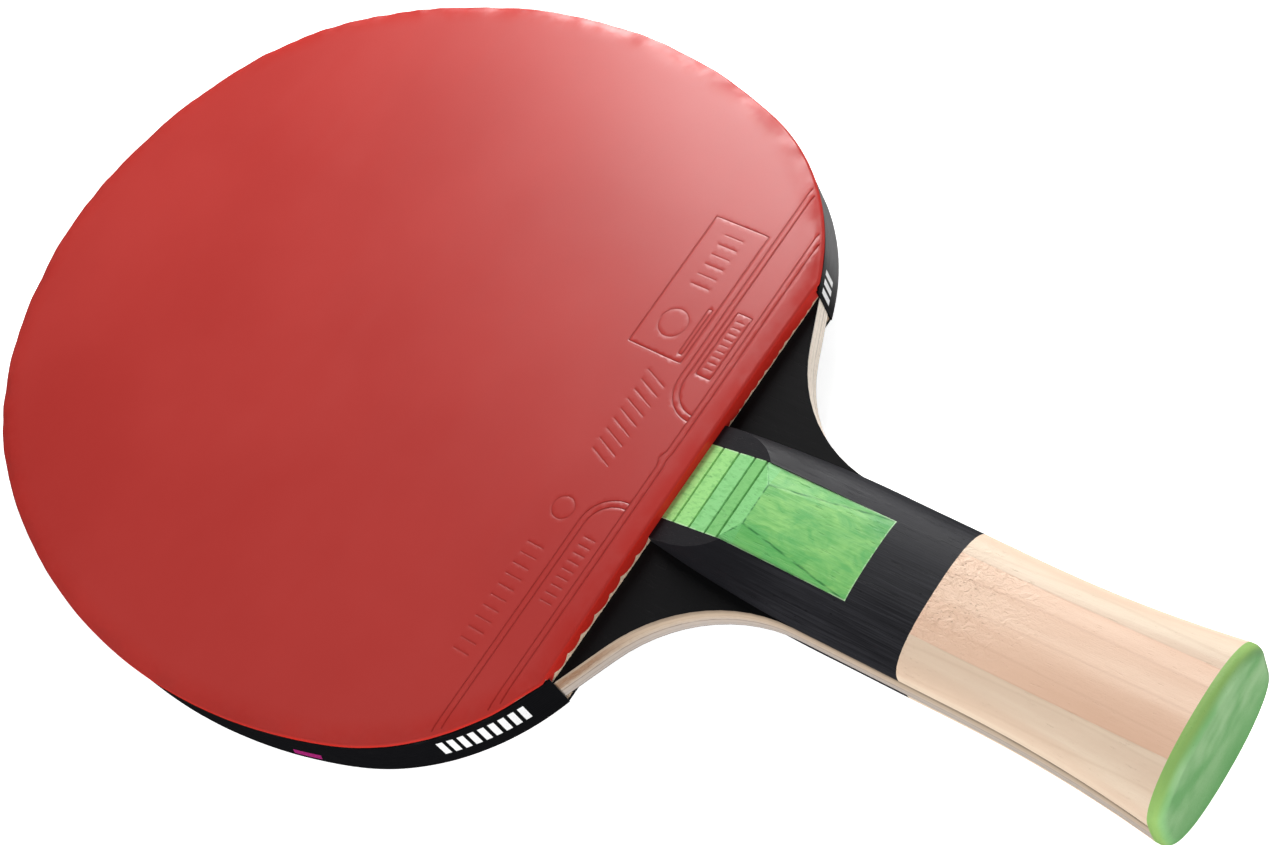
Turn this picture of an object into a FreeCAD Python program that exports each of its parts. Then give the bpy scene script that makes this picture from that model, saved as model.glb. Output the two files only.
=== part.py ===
import FreeCAD, Part
import math
import os
import Sketcher

# Table tennis paddle: a five-ply blade, a rubber sheet on sponge on each face, tape round the
# head, a flared handle glued up from strips on both sides of the blade, and a butt cap.
# +Y runs from the butt to the tip of the head, +Z out of the front face, and +X to the right of
# somebody who looks at the front face with the handle down. The origin is the middle of the
# butt's end face. Lengths are in millimetres, and a "height" is a distance up from the butt.

DIMENSIONS = {
    # The blade's head, seen from the front.
    "tip_height": 256.1,
    "head_width": 151.8,
    "widest_height": 166.2,
    "tip_radius": 72.9,
    "shoulder_radius": 56.7,
    "side_radius": 110.9,
    "heel_radius": 47.2,
    "heel_height": 143.8,
    "rubber_edge_height": 99.5,
    # The neck and the grip, seen from the front.
    "neck_radius": 29.8,
    "neck_width": 27.9,
    "neck_height": 68.3,
    "waist_width": 27.3,
    "waist_height": 36.5,
    "butt_width": 31.8,
    # The handle, seen from the side.
    "butt_depth": 23.8,
    "waist_depth": 19.2,
    "dye_line_height": 47.6,
    "ramp_top_height": 82.8,
    "ramp_foot_thickness": 1.4,
    # The strips of the handle and the inlay in the middle one.
    "strip_width": 15.6,
    "top_end_width": 23.8,
    "inlay_height": 59.9,
    "panel_width": 7.8,
    "bevel_top_height": 86.0,
    "first_groove_gap": 2.9,
    "groove_spacing": 3.85,
    "groove_side": 0.5,
    "cap_thickness": 2.4,
    "cap_rounding": 1.8,
    # The layers, from the middle of the blade outwards, and the tape.
    "core_ply": 1.4,
    "cross_ply": 1.2,
    "face_ply": 0.9,
    "front_sponge": 2.0,
    "front_topsheet": 1.7,
    "topsheet_overhang": 0.5,
    "back_sponge": 1.4,
    "back_topsheet": 1.4,
    "tape_width": 9.4,
    "tape_thickness": 0.4,
}

# Exponents of the handle's superellipse sections: 2 is an ellipse, and more is squarer.
BUTT_SQUARENESS = 2.2
WAIST_SQUARENESS = 2.5
# How suddenly the handle deepens towards the butt, and narrows towards the rubber.
DEPTH_POWER = 1.3
NARROWING_POWER = 1.7
GRIP_SECTIONS = 9
TOP_SECTIONS = 5
SECTION_POINTS = 17
EVEN_GROOVES = 3
# Cutting blocks are this big, which is more than the handle.
BLOCK = 120.0

# Sketcher's numbers for the origin, the vertical axis and the points of an edge.
ORIGIN, VERTICAL = -1, -2
START, END, CENTRE = 1, 2, 3

doc = FreeCAD.newDocument("paddle")
sizes = doc.addObject("Spreadsheet::Sheet", "sizes")
for row, (alias, value) in enumerate(DIMENSIONS.items(), start=1):
    sizes.set(f"A{row}", alias)
    sizes.set(f"B{row}", str(value))
    sizes.setAlias(f"B{row}", alias)
doc.recompute()

BLADE_FACE = "sizes.core_ply / 2 + sizes.cross_ply + sizes.face_ply"
sub_parts = []


def size(expression):
    """The value of an expression of the sheet's cells."""
    return float(sizes.evalExpression(expression))


def keep(sub_part, label):
    """Label a finished sub-part and list it for writing out."""
    sub_part.Label = label
    sub_parts.append(sub_part)
    return sub_part


def mirrored(source, label, normal):
    """A copy of a sub-part on the other side of the plane through the origin."""
    copy = doc.addObject("Part::Mirroring", label)
    copy.Source = source
    copy.Normal = normal
    return keep(copy, label)


# The outline of the blade: arcs and straights that run into each other, from the tip down.


def flat(x, y):
    return FreeCAD.Vector(x, y, 0)


def bearing(from_point, to_point):
    return math.atan2(to_point.y - from_point.y, to_point.x - from_point.x)


def circles_meet(first, first_reach, second, second_reach):
    """The upper of the two points that lie at the given distances from two centres."""
    gap = (second - first).Length
    along = (first_reach**2 - second_reach**2 + gap**2) / (2 * gap)
    across = math.sqrt(first_reach**2 - along**2)
    unit = (second - first) / gap
    points = [first + unit * along + flat(-unit.y, unit.x) * across * side for side in (1, -1)]
    return max(points, key=lambda point: point.y)


tip_centre = flat(0, size("sizes.tip_height - sizes.tip_radius"))
side_centre = flat(size("sizes.head_width / 2 - sizes.side_radius"), size("sizes.widest_height"))
shoulder_centre = circles_meet(
    tip_centre,
    size("sizes.tip_radius - sizes.shoulder_radius"),
    side_centre,
    size("sizes.side_radius - sizes.shoulder_radius"),
)
heel_rise = size("sizes.heel_height - sizes.widest_height")
heel_reach = size("sizes.side_radius - sizes.heel_radius")
heel_centre = side_centre + flat(math.sqrt(heel_reach**2 - heel_rise**2), heel_rise)

neck = flat(size("sizes.neck_width / 2"), size("sizes.neck_height"))
waist = flat(size("sizes.waist_width / 2"), size("sizes.waist_height"))
butt = flat(size("sizes.butt_width / 2"), size("sizes.cap_thickness"))
grip_run = (waist - neck).normalize()
outward = flat(-grip_run.y, grip_run.x)
neck_centre = neck + outward * size("sizes.neck_radius")
flare_radius = (butt - waist).dot(butt - waist) / (2 * (butt - waist).dot(outward))
flare_centre = waist + outward * flare_radius
# The straight above the neck touches the heel's circle and the neck's, on opposite sides.
crossing = math.acos(
    size("sizes.heel_radius + sizes.neck_radius") / (neck_centre - heel_centre).Length
)
heel_end = bearing(heel_centre, neck_centre) + crossing
straight = flat(math.cos(heel_end), math.sin(heel_end))


def arc(centre, radius, start, end):
    """The arc that runs anticlockwise from one bearing to another."""
    return Part.ArcOfCircle(Part.Circle(centre, FreeCAD.Vector(0, 0, 1), radius), start, end)


def drive(sketch, kind, *where, by):
    """Add a dimension to a sketch and bind it to an expression of the sheet's cells."""
    index = sketch.addConstraint(Sketcher.Constraint(kind, *where, size(by)))
    sketch.setExpression(f"Constraints[{index}]", by)


def join(sketch, first, first_end, second, second_end, kind="Tangent"):
    sketch.addConstraint(Sketcher.Constraint(kind, first, first_end, second, second_end))


def on_axis(sketch, edge, point):
    sketch.addConstraint(Sketcher.Constraint("PointOnObject", edge, point, VERTICAL))


def add_head(sketch, grow, last_bearing):
    """The four arcs of half the head, each grown by a margin. Returns the tip's and heel's."""
    margin = size(grow)
    tip_end = bearing(tip_centre, shoulder_centre)
    shoulder_end = bearing(side_centre, shoulder_centre)
    side_end = bearing(side_centre, heel_centre)
    arcs = (
        ("tip_radius", tip_centre, tip_end, math.pi / 2),
        ("shoulder_radius", shoulder_centre, shoulder_end, tip_end),
        ("side_radius", side_centre, side_end, shoulder_end),
        ("heel_radius", heel_centre, last_bearing, side_end),
    )
    indices = []
    for alias, centre, start, end in arcs:
        radius = size(f"sizes.{alias}") + margin
        indices.append(sketch.addGeometry(arc(centre, radius, start, end)))
    for upper, lower in zip(indices, indices[1:]):
        join(sketch, upper, START, lower, END)
    for index, (alias, *_) in zip(indices, arcs):
        drive(sketch, "Radius", index, by=f"sizes.{alias} + {grow}")
    tip, _, side, heel = indices
    on_axis(sketch, tip, CENTRE)
    on_axis(sketch, tip, END)
    tip_rise = "sizes.tip_height - sizes.tip_radius"
    side_offset = "sizes.side_radius - sizes.head_width / 2"
    drive(sketch, "DistanceY", ORIGIN, START, tip, CENTRE, by=tip_rise)
    drive(sketch, "DistanceX", side, CENTRE, ORIGIN, START, by=side_offset)
    drive(sketch, "DistanceY", ORIGIN, START, side, CENTRE, by="sizes.widest_height")
    drive(sketch, "DistanceY", ORIGIN, START, heel, CENTRE, by="sizes.heel_height")
    return tip, heel


def add_line(sketch, start, end):
    return sketch.addGeometry(Part.LineSegment(start, end))


def close_at(sketch, height, last, last_end, tip):
    """Close half an outline with a level line to the middle and a line up to the tip."""
    edge_point = sketch.getPoint(last, last_end)
    level = add_line(sketch, edge_point, flat(0, edge_point.y))
    middle = add_line(sketch, flat(0, edge_point.y), sketch.getPoint(tip, END))
    join(sketch, last, last_end, level, START, "Coincident")
    join(sketch, level, END, middle, START, "Coincident")
    join(sketch, middle, END, tip, END, "Coincident")
    sketch.addConstraint(Sketcher.Constraint("Horizontal", level))
    on_axis(sketch, level, END)
    drive(sketch, "DistanceY", ORIGIN, START, last, last_end, by=height)


def cut_bearing(grow):
    """Where the straight edge of the rubber meets the heel's arc, seen from its centre."""
    drop = size("sizes.rubber_edge_height - sizes.heel_height")
    return math.asin(drop / (size("sizes.heel_radius") + size(grow)))


def blade_outline(sketch):
    tip, heel = add_head(sketch, "0", heel_end)
    straight_start = heel_centre + straight * size("sizes.heel_radius")
    straight_end = neck_centre - straight * size("sizes.neck_radius")
    run = add_line(sketch, straight_start, straight_end)
    neck_radius = size("sizes.neck_radius")
    hollow = arc(neck_centre, neck_radius, heel_end + math.pi, bearing(neck_centre, neck))
    neck_arc = sketch.addGeometry(hollow)
    grip = add_line(sketch, neck, waist)
    flare = arc(flare_centre, flare_radius, bearing(flare_centre, waist), bearing(flare_centre, butt))
    flare_arc = sketch.addGeometry(flare)
    join(sketch, heel, START, run, START)
    join(sketch, run, END, neck_arc, START)
    join(sketch, neck_arc, END, grip, START)
    join(sketch, grip, END, flare_arc, START)
    drive(sketch, "Radius", neck_arc, by="sizes.neck_radius")
    drive(sketch, "DistanceX", ORIGIN, START, grip, START, by="sizes.neck_width / 2")
    drive(sketch, "DistanceY", ORIGIN, START, grip, START, by="sizes.neck_height")
    drive(sketch, "DistanceX", ORIGIN, START, grip, END, by="sizes.waist_width / 2")
    drive(sketch, "DistanceY", ORIGIN, START, grip, END, by="sizes.waist_height")
    drive(sketch, "DistanceX", ORIGIN, START, flare_arc, END, by="sizes.butt_width / 2")
    close_at(sketch, "sizes.cap_thickness", flare_arc, END, tip)


def rubber_outline(sketch, grow="0"):
    tip, heel = add_head(sketch, grow, cut_bearing(grow))
    close_at(sketch, "sizes.rubber_edge_height", heel, START, tip)


def overhanging_outline(sketch):
    rubber_outline(sketch, "sizes.topsheet_overhang")


def tape_outline(sketch):
    inner_tip, inner_heel = add_head(sketch, "0", cut_bearing("0"))
    grow = "sizes.tape_thickness"
    outer_tip, outer_heel = add_head(sketch, grow, cut_bearing(grow))
    ends = ((inner_tip, outer_tip, END), (inner_heel, outer_heel, START))
    for inner, outer, end in ends:
        line = add_line(sketch, sketch.getPoint(inner, end), sketch.getPoint(outer, end))
        join(sketch, inner, end, line, START, "Coincident")
        join(sketch, outer, end, line, END, "Coincident")
    for heel in (inner_heel, outer_heel):
        drive(sketch, "DistanceY", ORIGIN, START, heel, START, by="sizes.rubber_edge_height")


def origin_plane(body, role):
    return next(plane for plane in body.Origin.OriginFeatures if plane.Role == role)


def layer(label, outline, thickness, lift):
    """A flat piece: half an outline padded to its thickness, mirrored, and lifted into place."""
    body = doc.addObject("PartDesign::Body", label)
    sketch = body.newObject("Sketcher::SketchObject", label + "_outline")
    sketch.AttachmentSupport = (origin_plane(body, "XY_Plane"), [""])
    sketch.MapMode = "FlatFace"
    outline(sketch)
    pad = body.newObject("PartDesign::Pad", label + "_pad")
    pad.Profile = sketch
    pad.setExpression("Length", thickness)
    doc.recompute()
    both = body.newObject("PartDesign::Mirrored", label + "_both")
    both.Originals = [pad]
    both.MirrorPlane = (origin_plane(body, "YZ_Plane"), [""])
    body.Tip = both
    body.setExpression("Placement.Base.z", lift)
    doc.recompute()
    return keep(body, label)


def build_layers():
    """The blade's plies, the rubbers on its two faces and the tape round the head."""
    core = "sizes.core_ply / 2"
    back_sponge = f"-({BLADE_FACE}) - sizes.back_sponge"
    layer("core_ply", blade_outline, "sizes.core_ply", f"-{core}")
    layer("front_cross_ply", blade_outline, "sizes.cross_ply", core)
    layer("back_cross_ply", blade_outline, "sizes.cross_ply", f"-{core} - sizes.cross_ply")
    layer("front_face_ply", blade_outline, "sizes.face_ply", f"{core} + sizes.cross_ply")
    layer("back_face_ply", blade_outline, "sizes.face_ply", f"-({BLADE_FACE})")
    layer("front_sponge", rubber_outline, "sizes.front_sponge", BLADE_FACE)
    layer("back_sponge", rubber_outline, "sizes.back_sponge", back_sponge)
    front_topsheet = f"{BLADE_FACE} + sizes.front_sponge"
    back_topsheet = f"{back_sponge} - sizes.back_topsheet"
    layer("front_topsheet", overhanging_outline, "sizes.front_topsheet", front_topsheet)
    layer("back_topsheet", rubber_outline, "sizes.back_topsheet", back_topsheet)
    layer("edge_tape", tape_outline, "sizes.tape_width", "-sizes.tape_width / 2")


# The handle: a shape lofted through superellipse sections on the blade's face, cut into strips.


def half_width(height):
    if height <= waist.y:
        return flare_centre.x - math.sqrt(flare_radius**2 - (height - flare_centre.y) ** 2)
    if height <= neck.y:
        return waist.x + (neck.x - waist.x) * (height - waist.y) / (neck.y - waist.y)
    share = (height - neck.y) / (size("sizes.rubber_edge_height") - neck.y)
    return neck.x - (neck.x - size("sizes.top_end_width / 2")) * share**NARROWING_POWER


def butt_share(height):
    """One at the butt, falling to nothing at the line where the dyed wood starts."""
    return max(0.0, 1 - height / size("sizes.dye_line_height"))


def half_depth(height):
    waist_depth = size("sizes.waist_depth / 2")
    butt_depth = size("sizes.butt_depth / 2")
    return waist_depth + (butt_depth - waist_depth) * butt_share(height) ** DEPTH_POWER


def squareness(height):
    return WAIST_SQUARENESS + (BUTT_SQUARENESS - WAIST_SQUARENESS) * butt_share(height)


def surface_point(height, turn):
    """A point of the handle's surface: turn goes from 0 on the right, by the blade, to pi."""
    power = 2 / squareness(height)
    rise = half_depth(height) - size(BLADE_FACE)
    x = half_width(height) * math.copysign(abs(math.cos(turn)) ** power, math.cos(turn))
    return FreeCAD.Vector(x, height, size(BLADE_FACE) + rise * abs(math.sin(turn)) ** power)


def surface_over(x, height):
    """The point of the handle's surface above a place on the blade."""
    turn = math.acos((x / half_width(height)) ** (squareness(height) / 2))
    return surface_point(height, turn)


def section_curve(height):
    turns = [math.pi * step / (SECTION_POINTS - 1) for step in range(SECTION_POINTS)]
    points = [surface_point(height, turn) for turn in turns]
    points[0].z = points[-1].z = size(BLADE_FACE)
    curve = Part.BSplineCurve()
    up = FreeCAD.Vector(0, 0, 1)
    curve.interpolate(Points=points, InitialTangent=up, FinalTangent=-up)
    return curve.toShape()


def half_section(height):
    curve = section_curve(height)
    right, left = (curve.valueAt(end) for end in (curve.FirstParameter, curve.LastParameter))
    return Part.Wire([curve, Part.makeLine(left, right)])


def spread(low, high, count):
    return [low + (high - low) * step / (count - 1) for step in range(count)]


def front_blank():
    """The front half of the handle as one lofted solid, before its ramp is cut."""
    grip = spread(butt.y, neck.y, GRIP_SECTIONS)
    top = spread(neck.y, size("sizes.rubber_edge_height"), TOP_SECTIONS)[1:]
    blank = doc.addObject("Part::Feature", "front_blank")
    blank.Shape = Part.makeLoft([half_section(height) for height in grip + top], True, False)
    return blank


def ramp_point(x, height):
    """A point of the ramp that leads from the rubber up to the handle's full depth."""
    foot = size("sizes.rubber_edge_height")
    top = size("sizes.ramp_top_height")
    foot_z = size(BLADE_FACE + " + sizes.ramp_foot_thickness")
    share = (foot - height) / (foot - top)
    return FreeCAD.Vector(x, height, foot_z + (half_depth(top) - foot_z) * share)


def block_above(name, first, second, third):
    """A block that lies on the outer side of the plane through three points."""
    normal = (second - first).cross(third - first).normalize()
    if normal.z < 0:
        normal = -normal
    block = doc.addObject("Part::Box", name)
    block.Length = block.Width = block.Height = BLOCK
    turn = FreeCAD.Rotation(FreeCAD.Vector(0, 0, 1), normal)
    corner = turn.multVec(FreeCAD.Vector(-BLOCK / 2, -BLOCK / 2, 0))
    block.Placement = FreeCAD.Placement(first + corner, turn)
    return block


def cut(name, base, tool):
    result = doc.addObject("Part::Cut", name)
    result.Base = base
    result.Tool = tool
    return result


def strip(name, form, left, right, low, high):
    """The part of the handle between two upright and two level planes."""
    block = doc.addObject("Part::Box", name + "_block")
    block.setExpression("Placement.Base.x", left)
    block.setExpression("Placement.Base.y", low)
    block.setExpression("Length", f"({right}) - ({left})")
    block.setExpression("Width", f"({high}) - ({low})")
    block.Height = BLOCK
    common = doc.addObject("Part::Common", name)
    common.Base = form
    common.Tool = block
    return common


def groove(name, height):
    """A square bar across the ramp, standing on its corner, that cuts a V groove."""
    bar = doc.addObject("Part::Box", name)
    bar.setExpression("Length", "sizes.strip_width * 2")
    bar.setExpression("Width", "sizes.groove_side")
    bar.setExpression("Height", "sizes.groove_side")
    turn = FreeCAD.Rotation(FreeCAD.Vector(1, 0, 0), 45)
    half = size("sizes.groove_side / 2")
    corner = turn.multVec(FreeCAD.Vector(0, -half, -half))
    bar.Placement = FreeCAD.Placement(ramp_point(-size("sizes.strip_width"), height) + corner, turn)
    return bar


def front_inlay(form):
    """The green inlay: grooves across its ramp, and a bevel down each side of its panel."""
    half_strip = size("sizes.strip_width / 2")
    bevel_top = size("sizes.bevel_top_height")
    blank = strip(
        "front_inlay_blank",
        form,
        "-sizes.strip_width / 2",
        "sizes.strip_width / 2",
        "sizes.inlay_height",
        "sizes.rubber_edge_height",
    )
    corner = surface_over(size("sizes.panel_width / 2"), size("sizes.ramp_top_height"))
    flush = surface_over(half_strip, size("sizes.inlay_height"))
    lowest = ramp_point(half_strip, bevel_top)
    tools = [block_above("bevel_right", corner, flush, lowest)]
    across = [FreeCAD.Vector(-point.x, point.y, point.z) for point in (corner, flush, lowest)]
    tools.append(block_above("bevel_left", *across))
    first = bevel_top + size("sizes.first_groove_gap")
    step = size("sizes.groove_spacing")
    for index, height in enumerate([bevel_top] + [first + step * n for n in range(EVEN_GROOVES)]):
        tools.append(groove(f"groove_{index}", height))
    tool = doc.addObject("Part::MultiFuse", "inlay_tools")
    tool.Shapes = tools
    return cut("front_inlay", blank, tool)


def build_handle():
    edge = size("sizes.rubber_edge_height")
    top = size("sizes.ramp_top_height")
    ramp = block_above("ramp", ramp_point(0, edge), ramp_point(1, edge), ramp_point(0, top))
    form = cut("front_form", front_blank(), ramp)
    half_strip = "sizes.strip_width / 2"
    outside = "sizes.butt_width"
    dark_end = "sizes.dye_line_height"
    butt_end = "sizes.cap_thickness"
    rubber_end = "sizes.rubber_edge_height"
    middle = ("-" + half_strip, half_strip)
    centres = {
        "centre_dark": strip("front_centre_dark", form, *middle, dark_end, "sizes.inlay_height"),
        "centre_grip": strip("front_centre_grip", form, *middle, butt_end, dark_end),
        "inlay": front_inlay(form),
    }
    sides = {
        "dark": strip("front_right_dark", form, half_strip, outside, dark_end, rubber_end),
        "grip": strip("front_right_grip", form, half_strip, outside, butt_end, dark_end),
    }
    doc.recompute()
    to_back = FreeCAD.Vector(0, 0, 1)
    for name, front in centres.items():
        keep(front, "front_" + name)
        mirrored(front, "back_" + name, to_back)
    for name, right in sides.items():
        keep(right, "front_right_" + name)
        left = mirrored(right, "front_left_" + name, FreeCAD.Vector(1, 0, 0))
        mirrored(right, "back_right_" + name, to_back)
        mirrored(left, "back_left_" + name, to_back)


def build_cap():
    """The butt cap: a plate of the handle's end section with a rounded rim."""
    turns = [math.pi * step / (SECTION_POINTS - 1) for step in range(SECTION_POINTS)]
    front = [surface_point(butt.y, turn) for turn in turns]
    back = [FreeCAD.Vector(point.x, point.y, -point.z) for point in reversed(front)]
    rim = Part.BSplineCurve()
    rim.interpolate(Points=front + back, PeriodicFlag=True)
    plate = doc.addObject("Part::Feature", "cap_plate")
    plate.Shape = Part.Face(Part.Wire(rim.toShape())).extrude(FreeCAD.Vector(0, -butt.y, 0))
    cap = doc.addObject("Part::Fillet", "butt_cap")
    cap.Base = plate
    rounding = size("sizes.cap_rounding")
    cap.Edges = [
        (number, rounding, rounding)
        for number, edge in enumerate(plate.Shape.Edges, start=1)
        if edge.BoundBox.YMax < butt.y / 2
    ]
    keep(cap, "butt_cap")


def write_parts():
    """Stop if anything failed, then write each sub-part to a file of its own."""
    doc.recompute()
    for thing in doc.Objects:
        if {"Invalid", "Error"} & set(thing.State):
            raise RuntimeError(f"{thing.Label} is {thing.State}")
    for sub_part in sub_parts:
        shape = sub_part.Shape
        if shape.isNull() or not shape.isValid() or len(shape.Solids) != 1:
            raise RuntimeError(f"{sub_part.Label} is not one valid solid")
    os.makedirs("parts", exist_ok=True)
    for sub_part in sub_parts:
        sub_part.Shape.exportStep(f"parts/{sub_part.Label}.step")
        print(f"{sub_part.Label:20s} {sub_part.Shape.Volume:10.1f} mm3")


build_layers()
build_handle()
build_cap()
write_parts()
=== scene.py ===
import math

import bpy
import numpy as np
from mathutils import Matrix, Vector, noise
from mathutils.geometry import delaunay_2d_cdt


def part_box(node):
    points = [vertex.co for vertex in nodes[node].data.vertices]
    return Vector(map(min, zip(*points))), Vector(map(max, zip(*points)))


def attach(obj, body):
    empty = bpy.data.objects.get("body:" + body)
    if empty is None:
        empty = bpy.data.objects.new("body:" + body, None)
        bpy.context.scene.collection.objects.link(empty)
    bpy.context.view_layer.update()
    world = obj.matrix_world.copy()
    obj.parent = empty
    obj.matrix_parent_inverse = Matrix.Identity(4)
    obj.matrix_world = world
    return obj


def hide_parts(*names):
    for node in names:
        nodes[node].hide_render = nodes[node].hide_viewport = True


# Looks of the table tennis paddle. Helper geometry is worked out in millimetres, in the frame
# of the CAD model, and turned into metres when a mesh is made.

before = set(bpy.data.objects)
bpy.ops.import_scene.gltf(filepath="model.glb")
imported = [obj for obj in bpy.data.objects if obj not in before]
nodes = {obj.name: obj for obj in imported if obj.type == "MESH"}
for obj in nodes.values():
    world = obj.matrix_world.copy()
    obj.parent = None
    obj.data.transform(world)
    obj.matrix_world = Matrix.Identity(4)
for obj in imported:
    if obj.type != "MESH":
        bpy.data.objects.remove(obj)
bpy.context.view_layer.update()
MM = 0.001
SIDES = {"front": 1, "back": -1}


def heights(node):
    """The lowest and the highest z of a CAD node, in millimetres."""
    low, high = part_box(node)
    return low.z / MM, high.z / MM


# -------- outlines


def node_outline(node):
    """The edge of a rubber seen from the front: points from the right end of its straight
    edge, round over the tip, to the left end."""
    points = np.array([vertex.co for vertex in nodes[node].data.vertices]) / MM
    level = points[points[:, 2] > points[:, 2].max() - 0.01][:, :2]
    level = np.unique(np.round(level, 4), axis=0)
    middle = level.mean(axis=0)
    turn = np.arctan2(level[:, 1] - middle[1], level[:, 0] - middle[0])
    level = level[np.argsort(turn)]
    on_edge = level[:, 1] < level[:, 1].min() + 0.01
    start = int(np.argmax(np.where(on_edge, level[:, 0], -1e9)))
    return np.roll(level, -start, axis=0)


def smooth_through(points, step):
    """Evenly spaced points on a smooth curve through unevenly spaced points."""
    runs = np.diff(points, axis=0)
    lengths = np.linalg.norm(runs, axis=1)[:, None]
    slopes = runs / lengths
    inner = slopes[:-1] * lengths[1:] + slopes[1:] * lengths[:-1]
    inner /= lengths[:-1] + lengths[1:]
    slopes = np.vstack([2 * slopes[0] - inner[0], inner, 2 * slopes[-1] - inner[-1]])
    distance = np.concatenate([[0], np.cumsum(lengths)])
    count = max(2, round(distance[-1] / step))
    wanted = np.linspace(0, distance[-1], count + 1)
    index = np.clip(np.searchsorted(distance, wanted, side="right") - 1, 0, len(points) - 2)
    span = lengths[index]
    t = (wanted - distance[index])[:, None] / span
    return (
        points[index] * (1 + 2 * t) * (1 - t) ** 2
        + points[index + 1] * t**2 * (3 - 2 * t)
        + slopes[index] * span * t * (1 - t) ** 2
        - slopes[index + 1] * span * t**2 * (1 - t)
    )


def outward(path, closed):
    """Unit normals to the right of a path, which point out of an anticlockwise outline."""
    if closed:
        along = np.roll(path, -1, axis=0) - np.roll(path, 1, axis=0)
    else:
        along = np.gradient(path, axis=0)
    along /= np.linalg.norm(along, axis=1)[:, None]
    return np.column_stack([along[:, 1], -along[:, 0]])


def segment_distance(points, start, end):
    """How far each point is from a segment."""
    run = end - start
    share = np.clip((points - start) @ run / (run @ run), 0, 1)
    return np.linalg.norm(points - start - share[:, None] * run, axis=1)


def path_distance(points, path, closed=False):
    """How far each point is from a path of segments."""
    ends = np.roll(path, -1, axis=0) if closed else path[1:]
    starts = path if closed else path[:-1]
    return np.min([segment_distance(points, a, b) for a, b in zip(starts, ends)], axis=0)


# -------- meshes


def add_object(name, data):
    """A new object in the scene."""
    made = bpy.data.objects.new(name, data)
    bpy.context.scene.collection.objects.link(made)
    return made


def mesh_object(name, vertices, faces, material):
    """A piece of the object from points in millimetres, riding on the one body."""
    mesh = bpy.data.meshes.new(name)
    mesh.from_pydata([tuple(Vector(v) * MM) for v in vertices], [], faces)
    mesh.validate()
    mesh.update()
    mesh.shade_smooth()
    piece = add_object(name, mesh)
    piece.data.materials.append(material)
    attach(piece, "root")
    return piece


def add_attribute(piece, name, values):
    """Give each vertex of a piece a value that a material can read."""
    piece.data.attributes.new(name, "FLOAT", "POINT").data.foreach_set("value", values)


def crisp(piece, angle):
    """Keep edges sharper than an angle sharp, and let big flat faces set the shading."""
    piece.data.set_sharp_from_angle(angle=math.radians(angle))
    weighted = piece.modifiers.new("weighted", "WEIGHTED_NORMAL")
    weighted.keep_sharp = True


def bridge(first, second, count, closed=True):
    """Quads between two rings of vertices that start at two indices."""
    last = count if closed else count - 1
    return [
        (first + k, first + (k + 1) % count, second + (k + 1) % count, second + k)
        for k in range(last)
    ]


def joined(inner, outer):
    """Quads between two closed rings of vertex indices."""
    count = len(inner)
    return [
        (inner[k], outer[k], outer[(k + 1) % count], inner[(k + 1) % count])
        for k in range(count)
    ]


def flipped(faces):
    """The same faces, turned to look the other way."""
    return [tuple(reversed(face)) for face in faces]


# -------- materials


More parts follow.
